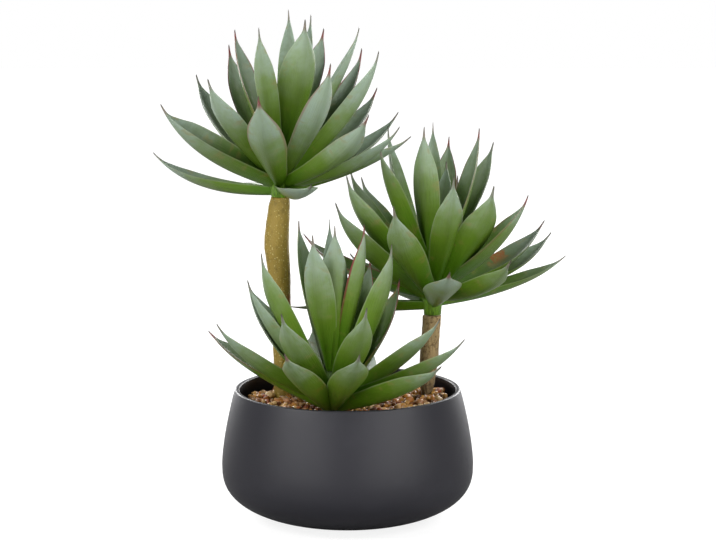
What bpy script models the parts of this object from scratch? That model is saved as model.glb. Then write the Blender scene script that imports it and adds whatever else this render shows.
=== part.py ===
"""A potted agave, modelled as its separate pieces.

Three rosettes of channelled leaves stand on bare trunks in a round bowl pot, which holds
soil under a layer of pebbles.  Metres, +Z up.  The origin is the centre of the pot's
underside and -Y is the front.  A bearing is in degrees round +Z from +X, and a rise is in
degrees above the level.
"""

import math
import random

import bmesh
import bpy
from mathutils import Euler, Matrix, Quaternion, Vector

# The pot, a turned bowl that is widest low down.
POT_HEIGHT = 0.1278
POT_RADIUS = 0.1251
POT_BELLY_HEIGHT = 0.0526
POT_FOOT_RADIUS = 0.062
POT_RIM_RADIUS = 0.1117
POT_WALL = 0.0045
POT_FLOOR = 0.008
POT_FLOOR_CORNER = 0.0045
POT_SIDES = 40
BELLY_STEPS = 5
SIDE_STEPS = 3
BELLY_WIDENING = 1.4
BELLY_RISING = 0.7
SIDE_POWER = 1.5

# The gap between pieces that touch, and the wider one left beside the pot's faceted wall.
CLEARANCE = 0.0003
WALL_CLEARANCE = 0.0006

# The soil follows the pot's wall at these heights, and the gravel lies on it as a bed with
# stones sunk into its top.
SOIL_TOP = 0.1000
FILL_HEIGHTS = (0.016, 0.034, 0.060, SOIL_TOP)
GRAVEL_BED = 0.0080
PEBBLE_COUNT = 100
PEBBLE_RADIUS = 0.0103
PEBBLE_SIZES = (0.78, 1.00)
PEBBLE_WIDTHS = (0.72, 0.95)
PEBBLE_DEPTHS = (0.60, 0.80)
PEBBLE_UNEVENNESS = 0.12
PEBBLE_TILT = 0.5
PEBBLE_SPREAD = 0.0970
PEBBLE_STRAY = 0.02
PEBBLE_LIFT = (0.0000, 0.0022)
PEBBLE_SEED = 7

# Under the low head the stones are smaller and lie lower, and round its neck there are none.
DIP_BARE = 0.020
DIP_RADIUS = 0.055
DIP_SHRINK = 0.5

# Trunks run from the soil up to the neck of their head: (x, y, z, radius), foot first.
TRUNK_SIDES = 12
TRUNK_RING_STEP = 0.019
PEG_RADIUS = 0.0032
PEG_LENGTH = 0.014
PEG_SUNK = 0.003
TRUNKS = {
    "trunk_tall": (
        (-0.0640, 0.025, 0.050, 0.0095),
        (-0.0644, 0.025, 0.122, 0.0098),
        (-0.0665, 0.025, 0.208, 0.0102),
        (-0.0680, 0.025, 0.238, 0.0113),
        (-0.0704, 0.025, 0.268, 0.0125),
        (-0.0681, 0.025, 0.304, 0.0110),
        (-0.0665, 0.025, 0.3155, 0.0092),
    ),
    "trunk_mid": (
        (0.0780, 0.020, 0.050, 0.0060),
        (0.0789, 0.020, 0.117, 0.0060),
        (0.0796, 0.020, 0.130, 0.0078),
        (0.0810, 0.020, 0.153, 0.0098),
        (0.0826, 0.020, 0.175, 0.0095),
        (0.0838, 0.020, 0.197, 0.0093),
    ),
    "trunk_low": (
        (-0.0152, -0.036, 0.070, 0.0080),
        (-0.0152, -0.036, 0.090, 0.0085),
        (-0.0152, -0.036, 0.1107, 0.0085),
    ),
}

# A leaf is a channelled blade with a long spine.  It sags below the straight line from
# its root to its tip, most of all near the tip, so that it curves upward.
LEAF_STATIONS = (
    # share of the reach, share of the width, cupping, thickness
    (0.00, 0.42, 0.80, 0.0040),
    (0.25, 0.72, 0.70, 0.0036),
    (0.52, 1.00, 0.54, 0.0028),
    (0.72, 0.88, 0.46, 0.0023),
    (0.85, 0.44, 0.40, 0.0018),
    (0.92, 0.13, 0.30, 0.0014),
)
LEAF_EDGE = 0.0008
MIDLINE = (0, 3)
SAG_NEAR_ROOT = 0.7
SAG_NEAR_TIP = 1.3
SLOPE_STEP = 0.01
ROOT_RADIUS = 0.006

# The short stem inside each head, over its neck: (radius, share of its height).
CORE_SIDES = 12
CORE_OUTLINE = ((0.0095, 0.00), (0.0110, 0.16), (0.0100, 0.52), (0.0070, 0.84), (0.0030, 1.00))

# Each head: where its neck begins, the neck's length and radius, the height of its core,
# and its leaves in tiers.  A tier is the height of its roots over the crown, its sag, its
# fold, which deepens the cupping, and its leaves, each (bearing, rise, reach in mm, width
# in mm, turn about its own length).
HEADS = {
    "head_tall": {
        "crown": (-0.0665, 0.025, 0.3216),
        "neck": (0.0058, 0.0092),
        "core": 0.050,
        "trunk": "trunk_tall",
        "tiers": {
            "collar": (0.001, 0.060, 1.0, (
                (-7, 24, 136, 26, -15),
                (-77, 9, 146, 34, 0),
                (125, -1, 105, 28, 0),
                (88, 2, 140, 32, 0),
            )),
            "skirt": (-0.001, 0.105, 1.0, (
                (150, 12, 150, 31, 6),
            )),
            "folded": (0.006, 0.100, 2.0, (
                (-151, 35, 150, 34, -30),
            )),
            "outer": (0.006, 0.100, 1.0, (
                (140, 44, 150, 34, 0),
                (-98, 41, 150, 36, 0),
                (-49, 32, 150, 29, -27),
                (33, 26, 150, 26, 5),
                (-34, 26, 150, 27, 0),
                (40, 37, 150, 32, 0),
                (95, 30, 146, 34, 0),
            )),
            "middle": (0.013, 0.090, 1.0, (
                (-126, 45, 149, 34, 0),
                (-58, 53, 149, 31, 0),
                (0, 54, 155, 30, -30),
                (19, 58, 149, 32, 12),
                (130, 59, 149, 30, 0),
                (82, 46, 146, 32, 0),
            )),
            "inner": (0.031, 0.055, 1.0, (
                (150, 70, 135, 28, 0),
                (-105, 65, 148, 22, 0),
                (-60, 72, 148, 38, -5),
                (6, 61, 149, 28, 0),
                (60, 58, 148, 30, 0),
                (55, 72, 148, 20, 0),
                (71, 83, 148, 20, 0),
            )),
            "heart": (0.036, 0.050, 1.0, (
                (40, 82, 104, 22, 0),
            )),
        },
    },
    "head_mid": {
        "crown": (0.0845, 0.020, 0.2109),
        "neck": (0.0125, 0.0086),
        "core": 0.050,
        "trunk": "trunk_mid",
        "tiers": {
            "fallen": (-0.004, 0.020, 1.0, (
                (170, -2, 140, 30, 5),
            )),
            "skirt": (-0.001, 0.070, 1.0, (
                (24, 15, 150, 28, 0),
                (-85, 22, 140, 36, 0),
                (62, 16, 150, 34, 0),
                (123, 12, 150, 34, 0),
            )),
            "outer": (0.006, 0.100, 1.0, (
                (-111, 44, 150, 34, 5),
                (-61, 22, 150, 30, -18),
                (32, 21, 150, 34, 5),
                (34, 26, 150, 34, 0),
                (153, 21, 150, 34, 0),
                (-146, 43, 150, 36, 8),
                (95, 28, 146, 34, 0),
            )),
            "folded": (0.013, 0.090, 1.7, (
                (-38, 44, 149, 28, 34),
            )),
            "middle": (0.013, 0.090, 1.0, (
                (-153, 53, 149, 34, 15),
                (-79, 56, 149, 30, 0),
                (-57, 50, 149, 36, -15),
                (128, 43, 149, 32, 0),
                (144, 50, 149, 30, 0),
                (75, 44, 146, 32, 0),
            )),
            "inner": (0.031, 0.055, 1.0, (
                (-147, 66, 140, 30, 0),
                (-111, 82, 148, 27, 0),
                (45, 56, 148, 30, 0),
                (27, 72, 148, 26, 0),
                (77, 59, 148, 26, 0),
                (89, 81, 148, 18, 0),
                (160, 74, 148, 28, 0),
            )),
            "heart": (0.036, 0.050, 1.0, (
                (50, 82, 104, 22, 0),
            )),
        },
    },
    "head_low": {
        "crown": (-0.0152, -0.036, 0.1125),
        "neck": (0.0015, 0.0085),
        "core": 0.062,
        "trunk": "trunk_low",
        "tiers": {
            "skirt": (0.003, 0.060, 1.0, (
                (-43, 24, 149, 34, -20),
                (153, 26, 149, 34, 0),
                (73, 14, 144, 30, 0),
                (-78, 32, 147, 36, 0),
                (-109, 32, 147, 34, 0),
                (99, 23, 144, 34, 0),
            )),
            "outer": (0.011, 0.080, 1.0, (
                (-149, 36, 149, 36, 0),
                (-12, 40, 132, 34, -18),
                (-25, 28, 152, 30, -15),
                (-115, 45, 146, 34, 0),
                (-71, 48, 146, 32, 0),
                (20, 61, 133, 34, 10),
                (168, 56, 140, 34, -18),
                (95, 27, 145, 34, 0),
            )),
            "middle": (0.018, 0.070, 1.0, (
                (-26, 69, 162, 32, -18),
                (-158, 65, 157, 30, 25),
                (-170, 56, 135, 30, 10),
                (45, 70, 137, 28, 5),
            )),
            "inner": (0.042, 0.050, 1.0, (
                (-110, 72, 146, 30, 0),
                (-84, 80, 148, 27, 0),
                (-43, 76, 151, 23, 0),
                (94, 79, 146, 16, 0),
                (145, 77, 147, 26, 0),
            )),
            "heart": (0.046, 0.050, 1.0, (
                (75, 80, 102, 22, 0),
            )),
        },
    },
}

BARKS = {"trunk_tall": "bark_ochre", "trunk_mid": "bark_brown", "trunk_low": "bark_ochre"}
SHARP_DEGREES = 40
MATERIALS = {
    # name: colour, roughness
    "pot": ((0.055, 0.055, 0.062, 1), 0.55),
    "soil": ((0.030, 0.022, 0.016, 1), 0.95),
    "pebble": ((0.420, 0.230, 0.110, 1), 0.35),
    "bark_ochre": ((0.300, 0.210, 0.060, 1), 0.75),
    "bark_brown": ((0.270, 0.170, 0.080, 1), 0.80),
    "leaf": ((0.130, 0.270, 0.110, 1), 0.45),
}


def clear_scene():
    for obj in list(bpy.data.objects):
        bpy.data.objects.remove(obj)


def make_material(name):
    colour, roughness = MATERIALS[name]
    material = bpy.data.materials.new(name)
    material.use_nodes = True
    shader = material.node_tree.nodes["Principled BSDF"]
    shader.inputs["Base Color"].default_value = colour
    shader.inputs["Roughness"].default_value = roughness
    return material


def make_object(name, bm):
    """Closes the bmesh into an object with its faces pointing out."""
    bmesh.ops.recalc_face_normals(bm, faces=bm.faces)
    mesh = bpy.data.meshes.new(name)
    bm.to_mesh(mesh)
    bm.free()
    obj = bpy.data.objects.new(name, mesh)
    bpy.context.scene.collection.objects.link(obj)
    return obj


def finish(obj, material):
    obj.data.materials.clear()
    obj.data.materials.append(material)
    obj.data.shade_smooth()
    obj.data.set_sharp_from_angle(angle=math.radians(SHARP_DEGREES))


def apply_modifiers(obj):
    graph = bpy.context.evaluated_depsgraph_get()
    mesh = bpy.data.meshes.new_from_object(obj.evaluated_get(graph))
    obj.modifiers.clear()
    obj.data = mesh


def join_pieces(base, pieces):
    """Fuses closed pieces into the base with one Boolean union, then removes them."""
    collection = bpy.data.collections.new(base.name + "_pieces")
    bpy.context.scene.collection.children.link(collection)
    for piece in pieces:
        bpy.context.scene.collection.objects.unlink(piece)
        collection.objects.link(piece)
    union = base.modifiers.new("join", "BOOLEAN")
    union.operation = "UNION"
    union.solver = "EXACT"
    union.operand_type = "COLLECTION"
    union.collection = collection
    apply_modifiers(base)
    for piece in pieces:
        bpy.data.objects.remove(piece)
    bpy.data.collections.remove(collection)


def cut_out(obj, cutters):
    """Cuts each cutter from the object, then removes the cutters."""
    for cutter in cutters:
        cut = obj.modifiers.new("cut", "BOOLEAN")
        cut.operation = "DIFFERENCE"
        cut.object = cutter
    apply_modifiers(obj)
    for cutter in cutters:
        bpy.data.objects.remove(cutter)


def turned(name, outline, sides):
    """Spins an outline of (radius, height) round Z into a closed solid."""
    return skinned(name, [(0, 0, height, radius) for radius, height in outline], sides)


def skinned(name, circles, sides):
    """Skins level circles, each (x, y, z, radius), into a closed solid."""
    bm = bmesh.new()
    rings = []
    for x, y, z, radius in circles:
        ring = []
        for i in range(sides):
            angle = 2 * math.pi * i / sides
            ring.append(bm.verts.new((x + radius * math.cos(angle), y + radius * math.sin(angle), z)))
        rings.append(ring)
    for first, second in zip(rings, rings[1:]):
        for i in range(sides):
            j = (i + 1) % sides
            bm.faces.new((first[i], first[j], second[j], second[i]))
    bm.faces.new(rings[0])
    bm.faces.new(rings[-1])
    return make_object(name, bm)


def pot_outside():
    """(radius, height) from the foot up to the rim."""
    points = []
    for i in range(BELLY_STEPS + 1):
        angle = 0.5 * math.pi * i / BELLY_STEPS
        radius = POT_FOOT_RADIUS + (POT_RADIUS - POT_FOOT_RADIUS) * math.sin(angle) ** BELLY_WIDENING
        height = POT_BELLY_HEIGHT * (1 - math.cos(angle) ** BELLY_RISING)
        points.append((radius, height))
    for i in range(1, SIDE_STEPS + 1):
        share = i / SIDE_STEPS
        radius = POT_RADIUS - (POT_RADIUS - POT_RIM_RADIUS) * share**SIDE_POWER
        points.append((radius, POT_BELLY_HEIGHT + (POT_HEIGHT - POT_BELLY_HEIGHT) * share))
    return points


def inner_radius(height):
    """The radius of the pot's inside at a height."""
    points = pot_outside()
    for (r0, z0), (r1, z1) in zip(points, points[1:]):
        if z0 <= height <= z1:
            return r0 + (r1 - r0) * (height - z0) / (z1 - z0) - POT_WALL
    return points[-1][0] - POT_WALL


def make_pot():
    """The turned bowl, with the lip rounded by a third of the wall on each side."""
    outside = pot_outside()
    rim_radius, rim_height = outside.pop()
    lip = POT_WALL / 3
    outline = outside + [
        (rim_radius, rim_height - lip),
        (rim_radius - lip, rim_height),
        (rim_radius - 2 * lip, rim_height),
        (rim_radius - 3 * lip, rim_height - lip),
    ]
    for height in (SOIL_TOP + GRAVEL_BED, *reversed(FILL_HEIGHTS)):
        outline.append((inner_radius(height), height))
    outline.append((inner_radius(POT_FLOOR) - POT_FLOOR_CORNER, POT_FLOOR))
    return turned("pot", outline, POT_SIDES)


def trunk_tube(name, grow=0.0):
    """The trunk as a closed tube, or with grow the hole that it stands in."""
    points = TRUNKS[name]
    steps = round((points[-1][2] - points[0][2]) / TRUNK_RING_STEP)
    circles = []
    for i in range(steps + 1):
        x, y, z, radius = path_point(points, i / steps)
        below = grow if i == 0 else 0
        circles.append((x, y, z - below, radius + grow))
    return skinned(name, circles, TRUNK_SIDES)


def path_point(points, share):
    """(x, y, z, radius) on the smooth curve through the points, at a share of its height."""
    height = points[0][2] + (points[-1][2] - points[0][2]) * share
    final = len(points) - 1
    i = max(k for k in range(final) if points[k][2] <= height or k == 0)
    before, start, end, after = (points[max(0, min(final, k))] for k in (i - 1, i, i + 1, i + 2))
    span = end[2] - start[2]
    t = (height - start[2]) / span
    result = []
    for axis in range(4):
        start_slope = (end[axis] - before[axis]) / (end[2] - before[2])
        end_slope = (after[axis] - start[axis]) / (after[2] - start[2])
        result.append(
            (2 * t**3 - 3 * t**2 + 1) * start[axis]
            + (t**3 - 2 * t**2 + t) * span * start_slope
            + (3 * t**2 - 2 * t**3) * end[axis]
            + (t**3 - t**2) * span * end_slope
        )
    return result


def peg(trunk_name, grow=0.0):
    """The peg on a trunk's top, or with grow the hole for it in the head."""
    x, y, z, _ = TRUNKS[trunk_name][-1]
    circles = [(x, y, z - PEG_SUNK, PEG_RADIUS + grow), (x, y, z + PEG_LENGTH + grow, PEG_RADIUS + grow)]
    return skinned(trunk_name + "_peg", circles, CORE_SIDES)


def make_trunk(name):
    trunk = trunk_tube(name)
    join_pieces(trunk, [peg(name)])
    return trunk


def pebble(rng, centre, radius):
    """A worn, squashed stone with a few flat sides."""
    bm = bmesh.new()
    bmesh.ops.create_icosphere(bm, subdivisions=1, radius=1)
    size = radius * rng.uniform(*PEBBLE_SIZES)
    scale = Vector((size, size * rng.uniform(*PEBBLE_WIDTHS), size * rng.uniform(*PEBBLE_DEPTHS)))
    tilt = [rng.uniform(-PEBBLE_TILT, PEBBLE_TILT) for _ in range(2)]
    turn = Euler((*tilt, rng.uniform(0, 2 * math.pi))).to_matrix()
    for vert in bm.verts:
        bump = Vector([rng.uniform(-PEBBLE_UNEVENNESS, PEBBLE_UNEVENNESS) for _ in range(3)])
        vert.co = turn @ ((vert.co + bump) * scale) + centre
    return make_object("pebble_piece", bm)


def make_gravel():
    """A bed with stones in a sunflower spiral, and the holes that the trunks pass through."""
    rng = random.Random(PEBBLE_SEED)
    outline = []
    for height in (SOIL_TOP + CLEARANCE, SOIL_TOP + GRAVEL_BED):
        outline.append((inner_radius(height) - WALL_CLEARANCE, height))
    gravel = turned("gravel", outline, POT_SIDES)
    dip = Vector(HEADS["head_low"]["crown"]).xy
    stones = []
    for i in range(PEBBLE_COUNT):
        distance = PEBBLE_SPREAD * math.sqrt((i + 0.5) / PEBBLE_COUNT)
        angle = i * math.pi * (3 - math.sqrt(5)) + rng.uniform(-PEBBLE_STRAY, PEBBLE_STRAY)
        place = Vector((distance * math.cos(angle), distance * math.sin(angle)))
        away = (place - dip).length
        if away < DIP_BARE:
            continue
        dip_share = max(0, 1 - (away - DIP_BARE) / (DIP_RADIUS - DIP_BARE))
        height = SOIL_TOP + GRAVEL_BED + rng.uniform(*PEBBLE_LIFT) * (1 - dip_share)
        radius = PEBBLE_RADIUS * (1 - DIP_SHRINK * dip_share)
        stones.append(pebble(rng, Vector((*place, height)), radius))
    join_pieces(gravel, stones)
    cut_out(gravel, [trunk_tube(name, CLEARANCE) for name in TRUNKS])
    return gravel


def make_soil():
    """The filler under the gravel, with the holes that the trunks stand in."""
    outline = [(inner_radius(POT_FLOOR) - POT_FLOOR_CORNER - CLEARANCE, POT_FLOOR + CLEARANCE)]
    for height in FILL_HEIGHTS:
        outline.append((inner_radius(height) - WALL_CLEARANCE, height))
    soil = turned("soil", outline, POT_SIDES)
    cut_out(soil, [trunk_tube(name, CLEARANCE) for name in TRUNKS])
    return soil


def leaf(root, sag, fold, bearing, rise, reach, width, turn):
    """One blade as a closed mesh, with a six-sided section at each station."""
    heading = math.radians(bearing)
    lift = math.radians(rise)
    outward = Vector((math.cos(heading), math.sin(heading), 0))
    along = outward * math.cos(lift) + Vector((0, 0, math.sin(lift)))
    across = Vector((0, 0, 1)).cross(outward)
    up = along.cross(across)

    def centre(share):
        uneven = SAG_NEAR_ROOT + (SAG_NEAR_TIP - SAG_NEAR_ROOT) * share
        return root + reach * (along * share - up * sag * 4 * share * (1 - share) * uneven)

    bm = bmesh.new()
    rings = []
    for share, spread, cup, thick in LEAF_STATIONS:
        ahead = (centre(share + SLOPE_STEP) - centre(share - SLOPE_STEP)).normalized()
        side = Quaternion(ahead, math.radians(turn)) @ across
        normal = ahead.cross(side)
        half = 0.5 * width * spread
        cup *= fold
        lean = math.atan(cup)
        middle = centre(share)
        left = middle + side * half + normal * cup * half
        right = middle - side * half + normal * cup * half
        edge = normal * math.cos(lean) * LEAF_EDGE
        inset = side * math.sin(lean) * LEAF_EDGE
        places = (middle, left, left + inset - edge, middle - normal * thick, right - inset - edge, right)
        rings.append([bm.verts.new(place) for place in places])
    tip = bm.verts.new(centre(1))
    # Both faces of the blade are split from margin to midline, so its thickness stays even.
    for lower, upper in zip(rings, rings[1:]):
        for i in range(6):
            j = (i + 1) % 6
            hub, rim = (i, j) if i in MIDLINE else (j, i)
            bm.faces.new((lower[i], lower[j], upper[hub]))
            bm.faces.new((upper[i], upper[j], lower[rim]))
    for i in range(6):
        bm.faces.new((rings[-1][i], rings[-1][(i + 1) % 6], tip))
    bm.faces.new(rings[0])
    return make_object("leaf_piece", bm)


def make_head(name):
    """The neck and core with every leaf fused in, and the hole for the trunk's peg."""
    plan = HEADS[name]
    crown = Vector(plan["crown"])
    neck_length, neck_radius = plan["neck"]
    outline = [(neck_radius, -neck_length)]
    outline += [(radius, share * plan["core"]) for radius, share in CORE_OUTLINE]
    head = turned(name, outline, CORE_SIDES)
    head.data.transform(Matrix.Translation(crown))
    leaves = []
    for height, sag, fold, places in plan["tiers"].values():
        for bearing, rise, reach, width, turn in places:
            heading = math.radians(bearing)
            offset = Vector((ROOT_RADIUS * math.cos(heading), ROOT_RADIUS * math.sin(heading), height))
            leaves.append(leaf(crown + offset, sag, fold, bearing, rise, reach / 1000, width / 1000, turn))
    join_pieces(head, leaves)
    cut_out(head, [peg(plan["trunk"], CLEARANCE)])
    return head


def main():
    clear_scene()
    materials = {name: make_material(name) for name in MATERIALS}
    finish(make_pot(), materials["pot"])
    finish(make_soil(), materials["soil"])
    finish(make_gravel(), materials["pebble"])
    for name, bark in BARKS.items():
        finish(make_trunk(name), materials[bark])
    for name in HEADS:
        finish(make_head(name), materials["leaf"])


main()
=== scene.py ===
"""The looks of the potted agave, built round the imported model.

Finer leaves, trunks, pebbles and pot take the places of the plain solids, by the same
rules that shaped those.  Metres, +Z up, and -Y is the front.  A bearing is in degrees
round +Z from +X, and a rise is in degrees above the level.
"""

import math
import random

import bmesh
import bpy
from mathutils import Euler, Matrix, Quaternion, Vector, noise


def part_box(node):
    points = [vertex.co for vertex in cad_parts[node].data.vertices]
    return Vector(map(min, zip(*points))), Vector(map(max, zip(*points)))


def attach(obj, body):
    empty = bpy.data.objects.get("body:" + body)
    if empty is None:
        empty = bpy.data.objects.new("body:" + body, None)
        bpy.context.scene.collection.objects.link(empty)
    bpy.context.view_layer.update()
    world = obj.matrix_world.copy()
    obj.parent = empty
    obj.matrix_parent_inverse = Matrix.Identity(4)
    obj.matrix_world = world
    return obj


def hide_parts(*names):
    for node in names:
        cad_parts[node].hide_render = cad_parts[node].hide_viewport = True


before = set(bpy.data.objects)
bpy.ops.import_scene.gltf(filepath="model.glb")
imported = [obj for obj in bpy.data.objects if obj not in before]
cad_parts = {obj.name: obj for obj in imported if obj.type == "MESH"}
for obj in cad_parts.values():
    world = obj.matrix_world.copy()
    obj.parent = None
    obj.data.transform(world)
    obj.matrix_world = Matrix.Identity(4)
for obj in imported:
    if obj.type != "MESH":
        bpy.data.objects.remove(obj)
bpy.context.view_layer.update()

# The pot, a turned bowl that is widest low down.
POT_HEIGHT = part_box("pot")[1].z
POT_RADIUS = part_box("pot")[1].x
POT_BELLY_HEIGHT = 0.0526
POT_FOOT_RADIUS = 0.062
POT_RIM_RADIUS = 0.1117
POT_WALL = 0.0045
POT_LIP = POT_WALL / 3
POT_FLOOR = 0.008
POT_FLOOR_CORNER = 0.0045
POT_SIDES = 160
POT_SHARP_DEGREES = 50
BELLY_WIDENING = 1.4
BELLY_RISING = 0.7
SIDE_POWER = 1.5
BELLY_STEPS = 20
SIDE_STEPS = 12
LIP_STEPS = 8
INSIDE_STEPS = 16

# The gravel: a bed, dark with painted shade where it shows between the stones, and stones
# all over it.  They lie lower under the low head, leave its neck and the trunks free, and are
# heaped at each side: (x, y), radius and lift.  A stone's width and thickness are shares of
# its length, and its bumps are (how close, how high).
GRAVEL_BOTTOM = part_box("gravel")[0].z
GRAVEL_TOP = 0.1080
WALL_CLEARANCE = 0.0006
STONE_COUNT = 860
STONE_RADIUS = (0.0028, 0.0052)
STONE_WIDTH = (0.70, 0.95)
STONE_THICKNESS = (0.55, 0.80)
STONE_TILT = 0.5
STONE_BUMPS = ((1.1, 1.6), (2.6, 1.0))
STONE_UNEVENNESS = 0.28
STONE_NOISE_SPAN = 50
STONE_SPREAD = 0.1000
STONE_STRAY = 0.03
STONE_LIFT = (0.0005, 0.0062)
STONE_TRUNK_GAP = 0.6
STONE_SEED = 11
GOLDEN_ANGLE = math.pi * (3 - math.sqrt(5))
DIP_PLACE = Vector((-0.0152, -0.036))
DIP_BARE = 0.017
DIP_RADIUS = 0.055
DIP_SHRINKING = 0.4
HEAPS = (
    (Vector((0.090, 0.020)), 0.050, 0.0070),
    (Vector((-0.088, 0.020)), 0.045, 0.0030),
)

# Trunks: (x, y, z, radius), foot first.  The lumps in their bark are broad or fine, each with
# its closeness along x, y and z.
TRUNK_SIDES = 56
TRUNK_RING_STEP = 0.0022
TRUNKS = {
    "trunk_tall": (
        (-0.0640, 0.025, 0.050, 0.0095),
        (-0.0644, 0.025, 0.122, 0.0098),
        (-0.0665, 0.025, 0.208, 0.0102),
        (-0.0680, 0.025, 0.238, 0.0113),
        (-0.0704, 0.025, 0.268, 0.0125),
        (-0.0681, 0.025, 0.304, 0.0110),
        (-0.0665, 0.025, 0.3155, 0.0092),
    ),
    "trunk_mid": (
        (0.0780, 0.020, 0.050, 0.0060),
        (0.0789, 0.020, 0.117, 0.0060),
        (0.0796, 0.020, 0.130, 0.0078),
        (0.0810, 0.020, 0.153, 0.0098),
        (0.0826, 0.020, 0.175, 0.0095),
        (0.0838, 0.020, 0.197, 0.0093),
    ),
    "trunk_low": (
        (-0.0152, -0.036, 0.070, 0.0080),
        (-0.0152, -0.036, 0.090, 0.0085),
        (-0.0152, -0.036, 0.1107, 0.0085),
    ),
}
BARKS = {"trunk_tall": "bark_ochre", "trunk_mid": "bark_brown", "trunk_low": "bark_ochre"}
BARK_LUMP = {"bark_ochre": 0.0006, "bark_brown": 0.0007}
BROAD_LUMPS = (90, 90, 60)
FINE_LUMPS = (420, 420, 150)
FINE_LUMP_SHARE = 0.6
LUMP_SINKING = 0.5

# A leaf: a channelled blade with a long spine, which curves upward most near its tip.  Its
# steps crowd towards the tip, and each leaf has its own layer of the grain.
LEAF_STATIONS = (
    # share of the reach, share of the width, cupping, thickness
    (0.00, 0.42, 0.80, 0.0040),
    (0.25, 0.72, 0.70, 0.0036),
    (0.52, 1.00, 0.54, 0.0028),
    (0.72, 0.88, 0.46, 0.0023),
    (0.85, 0.44, 0.40, 0.0018),
    (0.92, 0.13, 0.30, 0.0014),
    (1.00, 0.02, 0.20, 0.0008),
)
LEAF_STEPS = 34
LEAF_CROWDING = 1.25
LEAF_EDGE = 0.0008
LEAF_CHANNEL = 1.45
LEAF_BELLY = 1.7
LEAF_ACROSS = (-1.0, -0.93, -0.76, -0.52, -0.26, 0.0, 0.26, 0.52, 0.76, 0.93, 1.0)
SAG_NEAR_ROOT = 0.7
SAG_NEAR_TIP = 1.3
SLOPE_STEP = 0.01
ROOT_RADIUS = 0.006
GRAIN_APART = 37
LEAF_SHARP_DEGREES = 70
MILLIMETRES = 1000

# The short stem inside each head, over its neck: (radius, share of its height).
CORE_SIDES = 40
CORE_OUTLINE = ((0.0095, 0.00), (0.0110, 0.16), (0.0100, 0.52), (0.0070, 0.84), (0.0030, 1.00))

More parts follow.
